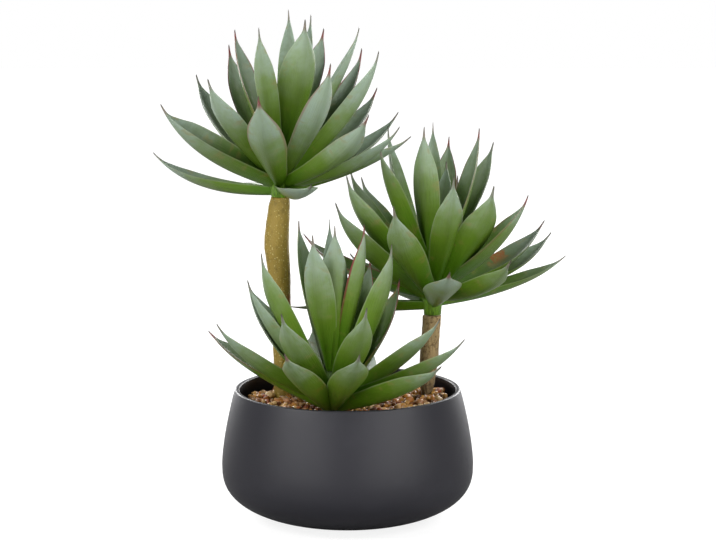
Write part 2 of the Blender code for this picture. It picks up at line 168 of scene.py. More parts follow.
# Each head: where its neck begins, the neck's length and radius, the height of its core,
# and its leaves in tiers.  A tier is the height of its roots over the crown, its sag, its
# fold, which deepens the cupping, and its leaves, each (bearing, rise, reach in mm, width
# in mm, turn about its own length).
HEADS = {
    "head_tall": {
        "crown": (-0.0665, 0.025, 0.3216),
        "neck": (0.0058, 0.0092),
        "core": 0.050,
        "tiers": {
            "collar": (0.001, 0.060, 1.0, (
                (-7, 24, 136, 26, -15),
                (-77, 9, 146, 34, 0),
                (125, -1, 105, 28, 0),
                (88, 2, 140, 32, 0),
            )),
            "skirt": (-0.001, 0.105, 1.0, (
                (150, 12, 150, 31, 6),
            )),
            "folded": (0.006, 0.100, 2.0, (
                (-151, 35, 150, 34, -30),
            )),
            "outer": (0.006, 0.100, 1.0, (
                (140, 44, 150, 34, 0),
                (-98, 41, 150, 36, 0),
                (-49, 32, 150, 29, -27),
                (33, 26, 150, 26, 5),
                (-34, 26, 150, 27, 0),
                (40, 37, 150, 32, 0),
                (95, 30, 146, 34, 0),
            )),
            "middle": (0.013, 0.090, 1.0, (
                (-126, 45, 149, 34, 0),
                (-58, 53, 149, 31, 0),
                (0, 54, 155, 30, -30),
                (19, 58, 149, 32, 12),
                (130, 59, 149, 30, 0),
                (82, 46, 146, 32, 0),
            )),
            "inner": (0.031, 0.055, 1.0, (
                (150, 70, 135, 28, 0),
                (-105, 65, 148, 22, 0),
                (-60, 72, 148, 38, -5),
                (6, 61, 149, 28, 0),
                (60, 58, 148, 30, 0),
                (55, 72, 148, 20, 0),
                (71, 83, 148, 20, 0),
            )),
            "heart": (0.036, 0.050, 1.0, (
                (40, 82, 104, 22, 0),
            )),
        },
    },
    "head_mid": {
        "crown": (0.0845, 0.020, 0.2109),
        "neck": (0.0125, 0.0086),
        "core": 0.050,
        "tiers": {
            "fallen": (-0.004, 0.020, 1.0, (
                (170, -2, 140, 30, 5),
            )),
            "skirt": (-0.001, 0.070, 1.0, (
                (24, 15, 150, 28, 0),
                (-85, 22, 140, 36, 0),
                (62, 16, 150, 34, 0),
                (123, 12, 150, 34, 0),
            )),
            "outer": (0.006, 0.100, 1.0, (
                (-111, 44, 150, 34, 5),
                (-61, 22, 150, 30, -18),
                (32, 21, 150, 34, 5),
                (34, 26, 150, 34, 0),
                (153, 21, 150, 34, 0),
                (-146, 43, 150, 36, 8),
                (95, 28, 146, 34, 0),
            )),
            "folded": (0.013, 0.090, 1.7, (
                (-38, 44, 149, 28, 34),
            )),
            "middle": (0.013, 0.090, 1.0, (
                (-153, 53, 149, 34, 15),
                (-79, 56, 149, 30, 0),
                (-57, 50, 149, 36, -15),
                (128, 43, 149, 32, 0),
                (144, 50, 149, 30, 0),
                (75, 44, 146, 32, 0),
            )),
            "inner": (0.031, 0.055, 1.0, (
                (-147, 66, 140, 30, 0),
                (-111, 82, 148, 27, 0),
                (45, 56, 148, 30, 0),
                (27, 72, 148, 26, 0),
                (77, 59, 148, 26, 0),
                (89, 81, 148, 18, 0),
                (160, 74, 148, 28, 0),
            )),
            "heart": (0.036, 0.050, 1.0, (
                (50, 82, 104, 22, 0),
            )),
        },
    },
    "head_low": {
        "crown": (-0.0152, -0.036, 0.1125),
        "neck": (0.0015, 0.0085),
        "core": 0.062,
        "tiers": {
            "skirt": (0.003, 0.060, 1.0, (
                (-43, 24, 149, 34, -20),
                (153, 26, 149, 34, 0),
                (73, 14, 144, 30, 0),
                (-78, 32, 147, 36, 0),
                (-109, 32, 147, 34, 0),
                (99, 23, 144, 34, 0),
            )),
            "outer": (0.011, 0.080, 1.0, (
                (-149, 36, 149, 36, 0),
                (-12, 40, 132, 34, -18),
                (-25, 28, 152, 30, -15),
                (-115, 45, 146, 34, 0),
                (-71, 48, 146, 32, 0),
                (20, 61, 133, 34, 10),
                (168, 56, 140, 34, -18),
                (95, 27, 145, 34, 0),
            )),
            "middle": (0.018, 0.070, 1.0, (
                (-26, 69, 162, 32, -18),
                (-158, 65, 157, 30, 25),
                (-170, 56, 135, 30, 10),
                (45, 70, 137, 28, 5),
            )),
            "inner": (0.042, 0.050, 1.0, (
                (-110, 72, 146, 30, 0),
                (-84, 80, 148, 27, 0),
                (-43, 76, 151, 23, 0),
                (94, 79, 146, 16, 0),
                (145, 77, 147, 26, 0),
            )),
            "heart": (0.046, 0.050, 1.0, (
                (75, 80, 102, 22, 0),
            )),
        },
    },
}

# How far a blue-grey bloom has spread over each head's leaves, and how much that varies.
HEAD_BLOOM = {"head_tall": 0.62, "head_mid": 0.38, "head_low": 0.48}
BLOOM_VARIES = 0.18

# Leaves that look unlike the rest, by head, bearing and rise: how red their margins and
# spines are, how much more bloom they have, and a rusty patch as its middle and half its
# length, in shares of the reach.
USUAL_BLUSH = (0.00, 0.22)
NO_PATCH = (0.50, 0.00)
LEAF_MARKS = {
    ("head_tall", 60, 58): (1.00, 0.00, *NO_PATCH),
    ("head_tall", 19, 58): (1.00, 0.00, *NO_PATCH),
    ("head_tall", 130, 59): (0.95, 0.00, *NO_PATCH),
    ("head_tall", 150, 70): (0.60, 0.00, 0.80, 0.04),
    ("head_tall", -49, 32): (0.35, -0.12, *NO_PATCH),
    ("head_tall", -98, 41): (0.50, 0.20, *NO_PATCH),
    ("head_tall", -58, 53): (0.50, 0.20, *NO_PATCH),
    ("head_tall", 40, 37): (0.45, 0.00, *NO_PATCH),
    ("head_tall", -77, 9): (0.00, 0.25, *NO_PATCH),
    ("head_mid", 34, 26): (0.30, 0.00, 0.58, 0.10),
    ("head_mid", -38, 44): (0.45, 0.00, *NO_PATCH),
    ("head_mid", 153, 21): (0.80, 0.00, *NO_PATCH),
    ("head_mid", 77, 59): (0.60, 0.00, *NO_PATCH),
    ("head_mid", 27, 72): (0.45, 0.00, *NO_PATCH),
    ("head_mid", -85, 22): (0.30, 0.25, 0.90, 0.03),
    ("head_low", 45, 70): (0.90, 0.00, *NO_PATCH),
    ("head_low", 20, 61): (0.90, -0.25, 0.90, 0.05),
    ("head_low", -43, 76): (0.80, -0.12, *NO_PATCH),
    ("head_low", -43, 24): (0.10, -0.32, *NO_PATCH),
    ("head_low", -25, 28): (0.10, -0.15, *NO_PATCH),
    ("head_low", -12, 40): (0.10, -0.15, *NO_PATCH),
    ("head_low", -109, 32): (0.30, -0.20, 0.45, 0.03),
    ("head_low", -78, 32): (0.10, -0.10, *NO_PATCH),
    ("head_low", 153, 26): (0.55, 0.00, *NO_PATCH),
}

# The photograph's view: a long lens, a little above the plant.
CAMERA_PLACE = (0.0103, -2.37, 0.619)
CAMERA_TILT_DEGREES = 90 - 8.945
CAMERA_LENS = 122.46

# The studio: how grey the floor is to the light, how bright it looks near the plant and far
# from it, and how strongly it shines on the plant from some way off.
FLOOR_HALF = 6.0
FLOOR_COLOUR = (0.25, 0.25, 0.25, 1)
FLOOR_GLOW = (0.84, 1.00)
FLOOR_SHINE = (0.00, 0.55)
FLOOR_REACH = (0.45, 2.20)
FLOOR_ROUGHNESS = 0.8
WHITE = (1, 1, 1, 1)

# How strongly the room shines on the plant, from the front and from behind, and which
# directions lie behind, as their share along +Y.
ROOM_SHINE = (0.08, 0.66)
ROOM_BEHIND = (0.32, 0.48)

# Softboxes that face the plant's middle: place, width and height, and power in watts.
PLANT_MIDDLE = (0, 0, 0.25)
SOFTBOXES = {
    "left_key": ((-1.70, -1.10, 1.70), (1.0, 1.0), 39),
    "right_key": ((1.70, -1.10, 1.70), (1.0, 1.0), 32),
    "left_front": ((-1.60, -1.85, 0.55), (2.6, 1.0), 27),
    "right_front": ((1.60, -1.85, 0.55), (2.6, 1.0), 29),
    "left_rim": ((-1.00, 1.90, 0.80), (0.5, 1.4), 31),
    "right_rim": ((1.00, 1.90, 0.80), (0.5, 1.4), 34),
}


def add(tree, kind, values=None, **settings):
    """Adds a node with its settings.  A value is a constant, or a socket to link from."""
    made = tree.nodes.new(kind)
    for name, value in settings.items():
        setattr(made, name, value)
    for name, value in (values or {}).items():
        if isinstance(value, bpy.types.NodeSocket):
            tree.links.new(value, made.inputs[name])
        else:
            made.inputs[name].default_value = value
    return made


def mixed(tree, factor, first, second, blend="MIX"):
    """The first colour turned into the second by the factor."""
    values = {0: factor, 6: first, 7: second}
    return add(tree, "ShaderNodeMix", values, data_type="RGBA", blend_type=blend).outputs[2]


def maths(tree, operation, *values):
    made = add(tree, "ShaderNodeMath", dict(enumerate(values)), operation=operation)
    return made.outputs[0]


def centred(tree, value, scale):
    """A share from 0 to 1, moved to lie round 0 and scaled."""
    return maths(tree, "MULTIPLY", maths(tree, "SUBTRACT", value, 0.5), scale)


def stepped(tree, value, low, high, to_low=0.0, to_high=1.0):
    """The value eased from to_low to to_high as it goes from low to high."""
    values = {"Value": value, "From Min": low, "From Max": high}
    values.update({"To Min": to_low, "To Max": to_high})
    made = add(tree, "ShaderNodeMapRange", values, interpolation_type="SMOOTHSTEP")
    return made.outputs["Result"]


def ramp(tree, factor, stops):
    """A run of colours, each stop a share and a colour."""
    made = add(tree, "ShaderNodeValToRGB", {"Fac": factor})
    points = made.color_ramp.elements
    while len(points) < len(stops):
        points.new(0.5)
    for point, (share, colour) in zip(points, stops):
        point.position = share
        point.color = colour
    return made.outputs["Color"]


def noisy(tree, vector, scale, detail=4.0, rough=0.5):
    values = {"Vector": vector, "Scale": scale, "Detail": detail, "Roughness": rough}
    return add(tree, "ShaderNodeTexNoise", values).outputs["Fac"]


def attribute(tree, name, output="Fac"):
    return add(tree, "ShaderNodeAttribute", attribute_name=name).outputs[output]


def new_group(name, inputs, outputs):
    """A node group with named sockets, each (name, kind, value)."""
    tree = bpy.data.node_groups.new(name, "ShaderNodeTree")
    for label, kind, value in inputs:
        socket = tree.interface.new_socket(label, in_out="INPUT", socket_type="NodeSocket" + kind)
        socket.default_value = value
    for label, kind in outputs:
        tree.interface.new_socket(label, in_out="OUTPUT", socket_type="NodeSocket" + kind)
    return tree, tree.nodes.new("NodeGroupInput").outputs, tree.nodes.new("NodeGroupOutput").inputs


def use_group(tree, group, values):
    return add(tree, "ShaderNodeGroup", values, node_tree=group).outputs


# Blotches: how much finer the fine ones are and how much they count, the level of noise
# where a blotch begins with no cover, how far full cover moves that, and the soft edge.
FINE_BLOTCH_SCALE = 4.3
FINE_BLOTCH_SHARE = 0.35
BLOTCH_EDGE = 0.68
BLOTCH_EDGE_MOVES = 0.30
BLOTCH_SOFTNESS = 0.12

# The levels of noise for a streak's furrow and ridge, and the share of a speck with no fade.
STREAK_LEVELS = (0.3, 0.7)
SPECK_HEART = 0.5


def make_mottle():
    """Soft blotches of a second colour over the first, with finer ones inside them."""
    tree, given, result = new_group(
        "Mottle",
        [
            ("Vector", "Vector", (0, 0, 0)),
            ("Scale", "Float", 100.0),
            ("Ground", "Color", (0.5, 0.5, 0.5, 1)),
            ("Blotch", "Color", (0.3, 0.3, 0.3, 1)),
            ("Cover", "Float", 0.5),
        ],
        [("Color", "Color"), ("Mask", "Float")],
    )
    broad = noisy(tree, given["Vector"], given["Scale"])
    fine_scale = maths(tree, "MULTIPLY", given["Scale"], FINE_BLOTCH_SCALE)
    fine = noisy(tree, given["Vector"], fine_scale)
    broad_share = maths(tree, "MULTIPLY", broad, 1 - FINE_BLOTCH_SHARE)
    fine_share = maths(tree, "MULTIPLY", fine, FINE_BLOTCH_SHARE)
    both = maths(tree, "ADD", broad_share, fine_share)
    covered = maths(tree, "MULTIPLY", given["Cover"], BLOTCH_EDGE_MOVES)
    start = maths(tree, "SUBTRACT", BLOTCH_EDGE, covered)
    stop = maths(tree, "ADD", start, BLOTCH_SOFTNESS)
    mask = stepped(tree, both, start, stop)
    tree.links.new(mixed(tree, mask, given["Ground"], given["Blotch"]), result["Color"])
    tree.links.new(mask, result["Mask"])
    return tree


def make_streaks():
    """Fine lines that run along Y of the vector, from 0 in the furrows to 1 on the ridges."""
    tree, given, result = new_group(
        "Streaks",
        [("Vector", "Vector", (0, 0, 0)), ("Scale", "Float", 1.0), ("Length", "Float", 0.03)],
        [("Value", "Float")],
    )
    parts = add(tree, "ShaderNodeSeparateXYZ", {0: given["Vector"]}).outputs
    along = maths(tree, "MULTIPLY", parts["Y"], given["Length"])
    values = {"X": parts["X"], "Y": along, "Z": parts["Z"]}
    stretched = add(tree, "ShaderNodeCombineXYZ", values).outputs[0]
    lines = noisy(tree, stretched, given["Scale"], detail=5.0, rough=0.6)
    tree.links.new(stepped(tree, lines, *STREAK_LEVELS), result["Value"])
    return tree


def make_specks():
    """Scattered small dots: 1 inside a dot, 0 between them."""
    tree, given, result = new_group(
        "Specks",
        [("Vector", "Vector", (0, 0, 0)), ("Scale", "Float", 400.0), ("Size", "Float", 0.2)],
        [("Mask", "Float")],
    )
    cells = add(tree, "ShaderNodeTexVoronoi", {"Vector": given["Vector"], "Scale": given["Scale"]})
    apart = cells.outputs["Distance"]
    chosen = add(tree, "ShaderNodeSeparateColor", {0: cells.outputs["Color"]}).outputs[0]
    size = maths(tree, "MULTIPLY", given["Size"], chosen)
    heart = maths(tree, "MULTIPLY", size, SPECK_HEART)
    tree.links.new(stepped(tree, apart, heart, size, 1.0, 0.0), result["Mask"])
    return tree


def new_material(name, specular=0.5):
    """A material, its tree and the Principled shader in it."""
    material = bpy.data.materials.new(name)
    material.use_nodes = True
    tree = material.node_tree
    shader = tree.nodes["Principled BSDF"]
    shader.inputs["Specular IOR Level"].default_value = specular
    return material, tree, shader


def place_in_object(tree):
    return add(tree, "ShaderNodeTexCoord").outputs["Object"]


def bumped(tree, shader, height, distance):
    bump = add(tree, "ShaderNodeBump", {"Height": height, "Distance": distance})
    tree.links.new(bump.outputs[0], shader.inputs["Normal"])


def mottled(tree, groups, ground, blotch, scale, cover):
    """Blotches of one colour over another, all over the object."""
    values = {"Vector": place_in_object(tree), "Scale": scale, "Cover": cover}
    values.update({"Ground": ground, "Blotch": blotch})
    return use_group(tree, groups["mottle"], values)


def upright_streaks(tree, groups, scale, length):
    """Fine lines that run up the object."""
    values = {"Vector": place_in_object(tree), "Angle": math.pi / 2}
    turned = add(tree, "ShaderNodeVectorRotate", values, rotation_type="X_AXIS").outputs[0]
    values = {"Vector": turned, "Scale": scale, "Length": length}
    return use_group(tree, groups["streaks"], values)["Value"]


def specked(tree, groups, scale, size):
    """Scattered small dots, all over the object."""
    values = {"Vector": place_in_object(tree), "Scale": scale, "Size": size}
    return use_group(tree, groups["specks"], values)["Mask"]


def height_in_object(tree):
    return add(tree, "ShaderNodeSeparateXYZ", {0: place_in_object(tree)}).outputs["Z"]


# Colours along a leaf's upper side and underside, each (share of the reach, colour).
LEAF_TOP = (
    (0.00, (0.060, 0.155, 0.004, 1)),
    (0.20, (0.043, 0.115, 0.004, 1)),
    (0.45, (0.072, 0.137, 0.016, 1)),
    (0.70, (0.120, 0.172, 0.078, 1)),
    (0.95, (0.200, 0.255, 0.200, 1)),
)
LEAF_UNDER = (
    (0.00, (0.085, 0.210, 0.004, 1)),
    (0.15, (0.068, 0.172, 0.003, 1)),
    (0.45, (0.105, 0.188, 0.014, 1)),
    (0.70, (0.165, 0.238, 0.075, 1)),
    (0.95, (0.270, 0.345, 0.245, 1)),
)

LEAF_BLOOM = (0.290, 0.370, 0.310, 1)
LEAF_FRESH = (0.130, 0.300, 0.015, 1)
LEAF_PALE_MARGIN = (0.420, 0.480, 0.260, 1)
LEAF_RED_MARGIN = (0.180, 0.022, 0.022, 1)
LEAF_RUST = (0.330, 0.095, 0.024, 1)
LEAF_OCHRE = (0.230, 0.195, 0.050, 1)
SPINE_GREY = (0.190, 0.190, 0.150, 1)
SPINE_RED = (0.200, 0.030, 0.030, 1)
SPINE_END = (0.060, 0.040, 0.030, 1)

# How a surface's looks ease along it, across it or with a level of noise.  Each is (start,
# end, value before, value after), here and in the materials below.
BLOOM_ALONG = (0.50, 0.95, 0.00, 0.58)
# Bloom thickening towards the margins, partly painted light that pales the sides of the blade as
# on a rounded leaf.
BLOOM_AND_PAINTED_LIGHT_ACROSS = (0.05, 0.90, 0.60, 1.45)
BLOOM_PATCHES = (0.35, 0.65, 0.45, 1.00)
FURROW_SHADE = (0.00, 0.50, 0.90, 1.00)
CHANNEL_SHADE = (0.00, 0.70, 0.86, 1.03)
CHANNEL_ALONG = (0.50, 0.85, 1.00, 0.15)
PALE_ACROSS = (0.93, 1.00, 0.00, 0.32)
RED_ACROSS = (0.86, 0.96, 0.00, 1.00)
RED_ALONG = (0.15, 0.75, 0.25, 1.00)
RED_WITH_BLUSH = (0.20, 0.80, 0.00, 1.00)
WORN_SPOTS = (0.56, 0.68, 0.00, 0.45)
WORN_ACROSS = (0.25, 0.85, 0.15, 1.00)
RUST_EDGE = (-0.07, 0.00, 0.85, 0.00)
RUST_GRAIN = (0.35, 0.50, 0.60, 1.00)
RUST_ACROSS = (0.10, 0.75, 0.00, 1.00)
RUST_TO_OCHRE = (0.50, 0.64, 0.00, 1.00)
SPINE_WITH_BLUSH = (0.05, 0.50, 0.00, 1.00)
SPINE_ALONG = (0.90, 0.95, 0.00, 0.90)
SPINE_END_ALONG = (0.955, 0.995, 0.00, 1.00)

# How far noise and a leaf's own tone move its colours along it, and how ragged rust is.
CLOUD_MOVES = 0.35
TONE_MOVES = 0.60
RUST_RAGGEDNESS = 0.35

# How much fresh green shows in the leaf's lines, how rough it is, and what adds to that.
LINES_FRESH = 0.12
LEAF_ROUGHNESS = 0.32
BLOOM_ROUGHNESS = 0.30
LINES_ROUGHNESS = 0.06

# What every point of a leaf knows of its place on the leaf, and of the leaf's own looks.
LEAF_LABELS = ("along", "across", "under", "tone", "blush", "patch", "patch_size")


def with_margins(tree, leaf, out, colour):
    """A pale line along each margin, red on the leaves that blush."""
    colour = mixed(tree, stepped(tree, out, *PALE_ACROSS), colour, LEAF_PALE_MARGIN)
    red = stepped(tree, leaf["blush"], *RED_WITH_BLUSH)
    red = maths(tree, "MULTIPLY", red, stepped(tree, out, *RED_ACROSS))
    red = maths(tree, "MULTIPLY", red, stepped(tree, leaf["along"], *RED_ALONG))
    return mixed(tree, red, colour, LEAF_RED_MARGIN)


def with_worn_spots(tree, blade, out, colour):
    """Faint ochre spots, most of them towards the margins."""
    worn = stepped(tree, noisy(tree, blade, scale=0.11, detail=5.0), *WORN_SPOTS)
    worn = maths(tree, "MULTIPLY", worn, stepped(tree, out, *WORN_ACROSS))
    return mixed(tree, worn, colour, LEAF_OCHRE)


def with_rust(tree, leaf, blade, colour):
    """The ragged patch of rust and ochre on one side of the leaves that have one."""
    blotches = noisy(tree, blade, scale=0.16, detail=5.0, rough=0.6)
    grain = noisy(tree, blade, scale=0.7)
    ragged = maths(tree, "ADD", leaf["along"], centred(tree, blotches, RUST_RAGGEDNESS))
    apart = maths(tree, "ABSOLUTE", maths(tree, "SUBTRACT", ragged, leaf["patch"]))
    past_end = maths(tree, "SUBTRACT", apart, leaf["patch_size"])
    rust = stepped(tree, past_end, *RUST_EDGE)
    rust = maths(tree, "MULTIPLY", rust, stepped(tree, grain, *RUST_GRAIN))
    rust = maths(tree, "MULTIPLY", rust, stepped(tree, leaf["across"], *RUST_ACROSS))
    rusty = mixed(tree, stepped(tree, blotches, *RUST_TO_OCHRE), LEAF_RUST, LEAF_OCHRE)
    return mixed(tree, rust, colour, rusty)


def with_spine(tree, leaf, colour):
    """The spine that the leaf ends in, grey or red, with a dark point."""
    reddened = stepped(tree, leaf["blush"], *SPINE_WITH_BLUSH)
    spine = mixed(tree, reddened, SPINE_GREY, SPINE_RED)
    spine = mixed(tree, stepped(tree, leaf["along"], *SPINE_END_ALONG), spine, SPINE_END)
    return mixed(tree, stepped(tree, leaf["along"], *SPINE_ALONG), colour, spine)


def leaf_material(groups):
    """Fresh green at the root, blue-grey bloom at the tip, pale or red margins, worn spots."""
    material, tree, shader = new_material("leaf_green", specular=0.4)
    blade = attribute(tree, "blade", "Vector")
    leaf = {label: attribute(tree, label) for label in LEAF_LABELS}
    out = maths(tree, "ABSOLUTE", leaf["across"])
    grain = {"Vector": blade, "Scale": 1.3, "Length": 0.035}
    streaks = use_group(tree, groups["streaks"], grain)["Value"]

    cloud = centred(tree, noisy(tree, blade, scale=0.055, detail=3.0), CLOUD_MOVES)
    shifted = maths(tree, "ADD", leaf["along"], cloud)
    shifted = maths(tree, "ADD", shifted, centred(tree, leaf["tone"], TONE_MOVES))
    top, underside = ramp(tree, shifted, LEAF_TOP), ramp(tree, shifted, LEAF_UNDER)
    colour = mixed(tree, leaf["under"], top, underside)

    patches = stepped(tree, noisy(tree, blade, scale=0.16, detail=5.0), *BLOOM_PATCHES)
    bloom = maths(tree, "MULTIPLY", stepped(tree, shifted, *BLOOM_ALONG), patches)
    # More bloom towards the margins: partly the bloom itself, partly painted light that pales the
    # blade's sides.
    bloom = maths(tree, "MULTIPLY", bloom, stepped(tree, out, *BLOOM_AND_PAINTED_LIGHT_ACROSS))
    colour = mixed(tree, bloom, colour, LEAF_BLOOM)

    colour = mixed(tree, maths(tree, "MULTIPLY", streaks, LINES_FRESH), colour, LEAF_FRESH)
    colour = mixed(tree, 1.0, colour, stepped(tree, streaks, *FURROW_SHADE), "MULTIPLY")
    # Painted shade down the middle of the blade and a touch of painted light at its margins,
    # fading out towards the tip.
    channel_shade = stepped(tree, out, *CHANNEL_SHADE)
    shaded = stepped(tree, leaf["along"], *CHANNEL_ALONG)
    colour = mixed(tree, shaded, colour, channel_shade, "MULTIPLY")

    colour = with_margins(tree, leaf, out, colour)
    colour = with_worn_spots(tree, blade, out, colour)
    colour = with_rust(tree, leaf, blade, colour)
    colour = with_spine(tree, leaf, colour)
    tree.links.new(colour, shader.inputs["Base Color"])

    bloomed = maths(tree, "MULTIPLY", bloom, BLOOM_ROUGHNESS)
    lined = maths(tree, "MULTIPLY", streaks, LINES_ROUGHNESS)
    roughness = maths(tree, "ADD", maths(tree, "ADD", LEAF_ROUGHNESS, bloomed), lined)
    tree.links.new(roughness, shader.inputs["Roughness"])
    bumped(tree, shader, streaks, distance=0.00014)
    return material


CORE_GREEN = (0.110, 0.220, 0.015, 1)
CORE_BLOTCH = (0.060, 0.135, 0.008, 1)
CORE_LINE = (0.190, 0.400, 0.025, 1)
CORE_LINES = (0.30, 0.80, 0.00, 0.80)
CORE_SHADE = (0.016, 0.040, 0.003, 1)
CORE_SHADE_UP = (0.175, 0.190, 0.85, 0.00)


def core_material(groups):
    """The bright green of the stem below the leaves, darker deep in the low head."""
    material, tree, shader = new_material("stem_green")
    green = mottled(tree, groups, CORE_GREEN, CORE_BLOTCH, scale=160.0, cover=0.5)
    streaks = upright_streaks(tree, groups, scale=900.0, length=0.10)
    colour = mixed(tree, stepped(tree, streaks, *CORE_LINES), green["Color"], CORE_LINE)
    shaded = stepped(tree, height_in_object(tree), *CORE_SHADE_UP)
    colour = mixed(tree, shaded, colour, CORE_SHADE)
    tree.links.new(colour, shader.inputs["Base Color"])
    shader.inputs["Roughness"].default_value = 0.40
    bumped(tree, shader, streaks, distance=0.0004)
    return material


OCHRE = (0.270, 0.185, 0.024, 1)
OLIVE = (0.200, 0.135, 0.014, 1)
OCHRE_SPECK = (0.620, 0.500, 0.170, 1)
OCHRE_SPECKS_SHOW = 0.75
BARK_RUST = (0.300, 0.085, 0.020, 1)
BARK_RUST_PLACE = (-0.0570, 0.0180, 0.2110)
BARK_RUST_AWAY = (0.008, 0.013, 0.70, 0.00)
BARK_RUST_RAGGEDNESS = 0.006


def ochre_bark_material(groups):
    """Ochre with olive blotches and light specks, and one rusty patch on the tall trunk."""
    material, tree, shader = new_material("bark_ochre")
    place = place_in_object(tree)
    bark = mottled(tree, groups, OCHRE, OLIVE, scale=170.0, cover=0.55)
    specks = specked(tree, groups, scale=460.0, size=0.50)
    shown = maths(tree, "MULTIPLY", specks, OCHRE_SPECKS_SHOW)
    colour = mixed(tree, shown, bark["Color"], OCHRE_SPECK)
    ends = {0: place, 1: BARK_RUST_PLACE}
    away = add(tree, "ShaderNodeVectorMath", ends, operation="DISTANCE").outputs["Value"]
    ragged = maths(tree, "MULTIPLY", noisy(tree, place, scale=300.0), BARK_RUST_RAGGEDNESS)
    away = maths(tree, "ADD", away, ragged)
    colour = mixed(tree, stepped(tree, away, *BARK_RUST_AWAY), colour, BARK_RUST)
    tree.links.new(colour, shader.inputs["Base Color"])
    shader.inputs["Roughness"].default_value = 0.62
    grain = noisy(tree, place, scale=520.0, detail=6.0, rough=0.65)
    bumped(tree, shader, maths(tree, "ADD", grain, specks), distance=0.0006)
    return material


TAN = (0.385, 0.270, 0.115, 1)
BROWN = (0.160, 0.095, 0.034, 1)
BROWN_FURROWS = (0.00, 0.80, 0.70, 1.00)
BROWN_FOOT = (0.050, 0.032, 0.018, 1)
BROWN_FOOT_UP = (0.115, 0.175, 0.55, 0.00)
BROWN_GRAIN_SHARE = 0.5


def brown_bark_material(groups):
    """Fibres that run up the trunk, tan where they stand out and dark towards its foot."""
    material, tree, shader = new_material("bark_brown")
    streaks = upright_streaks(tree, groups, scale=520.0, length=0.16)
    bark = mottled(tree, groups, TAN, BROWN, scale=300.0, cover=0.6)
    furrows = stepped(tree, streaks, *BROWN_FURROWS)
    colour = mixed(tree, 1.0, bark["Color"], furrows, "MULTIPLY")
    foot = stepped(tree, height_in_object(tree), *BROWN_FOOT_UP)
    colour = mixed(tree, foot, colour, BROWN_FOOT)
    tree.links.new(colour, shader.inputs["Base Color"])
    shader.inputs["Roughness"].default_value = 0.72
    grain = noisy(tree, place_in_object(tree), scale=600.0)
    height = maths(tree, "ADD", streaks, maths(tree, "MULTIPLY", grain, BROWN_GRAIN_SHARE))
    bumped(tree, shader, height, distance=0.0009)
    return material


# Each stone's colour by its tone.  The first, at 0, is also the colour of the bed: a dark sheet of
# painted shade in the gaps between the stones.
STONE_COLOURS_AND_GAP_SHADE = (
    (0.00, (0.060, 0.022, 0.006, 1)),
    (0.16, (0.280, 0.085, 0.014, 1)),
    (0.34, (0.460, 0.190, 0.032, 1)),
    (0.52, (0.560, 0.300, 0.075, 1)),
    (0.68, (0.180, 0.070, 0.018, 1)),
    (0.84, (0.620, 0.420, 0.180, 1)),
    (1.00, (0.260, 0.050, 0.014, 1)),
)
STONE_VEIN = (0.38, 0.30, 0.25, 1)
STONE_SPECK = (0.700, 0.560, 0.360, 1)
STONE_SPECKS_SHOW = 0.25
STONE_ROUGHNESS = (0.38, 0.56)


def pebble_material(groups):
    """Worn satin stones, each of its own brown, with darker veins and specks, over a bed in
    painted shade.
    """
    material, tree, shader = new_material("pebble_stone", specular=0.4)
    # Each stone's own colour, and painted shade on the bed, whose tone is 0.
    own = ramp(tree, attribute(tree, "stone"), STONE_COLOURS_AND_GAP_SHADE)
    darker = mixed(tree, 1.0, own, STONE_VEIN, "MULTIPLY")
    stone = mottled(tree, groups, own, darker, scale=230.0, cover=0.45)
    specks = specked(tree, groups, scale=900.0, size=0.40)
    shown = maths(tree, "MULTIPLY", specks, STONE_SPECKS_SHOW)
    colour = mixed(tree, shown, stone["Color"], STONE_SPECK)
    tree.links.new(colour, shader.inputs["Base Color"])
    roughness = stepped(tree, stone["Mask"], 0.0, 1.0, *STONE_ROUGHNESS)
    tree.links.new(roughness, shader.inputs["Roughness"])
    pits = noisy(tree, place_in_object(tree), scale=420.0, detail=5.0)
    bumped(tree, shader, pits, distance=0.0006)
    return material


SOIL = (0.030, 0.020, 0.013, 1)
SOIL_CRUMB = (0.075, 0.050, 0.032, 1)


def soil_material(groups):
    """Dark filler with lighter crumbs in it."""
    material, tree, shader = new_material("soil_dark")
    soil_crumbs = mottled(tree, groups, SOIL, SOIL_CRUMB, scale=240.0, cover=0.5)
    tree.links.new(soil_crumbs["Color"], shader.inputs["Base Color"])
    shader.inputs["Roughness"].default_value = 0.95
    bumped(tree, shader, soil_crumbs["Mask"], distance=0.0015)
    return material


CHARCOAL = (0.0200, 0.0195, 0.0250, 1)
CHARCOAL_SMUDGE = (0.0225, 0.0220, 0.0280, 1)
POT_DUST = (0.160, 0.160, 0.160, 1)
POT_DUST_SHOWS = 0.15
POT_ROUGHNESS = (0.45, 0.50)


def pot_material(groups):
    """Matt charcoal glaze with a fine grain, faintly smudged."""
    material, tree, shader = new_material("pot_charcoal", specular=0.35)
    glaze = mottled(tree, groups, CHARCOAL, CHARCOAL_SMUDGE, scale=14.0, cover=0.5)
    dust = specked(tree, groups, scale=260.0, size=0.10)
    shown = maths(tree, "MULTIPLY", dust, POT_DUST_SHOWS)
    colour = mixed(tree, shown, glaze["Color"], POT_DUST)
    tree.links.new(colour, shader.inputs["Base Color"])
    roughness = stepped(tree, glaze["Mask"], 0.0, 1.0, *POT_ROUGHNESS)
    tree.links.new(roughness, shader.inputs["Roughness"])
    grain = noisy(tree, place_in_object(tree), scale=2200.0, detail=2.0)
    bumped(tree, shader, grain, distance=0.00006)
    return material


def make_materials():
    groups = {"mottle": make_mottle(), "streaks": make_streaks(), "specks": make_specks()}
    return {
        "leaf": leaf_material(groups),
        "core": core_material(groups),
        "bark_ochre": ochre_bark_material(groups),
        "bark_brown": brown_bark_material(groups),
        "pebble": pebble_material(groups),
        "soil": soil_material(groups),
        "pot": pot_material(groups),
    }


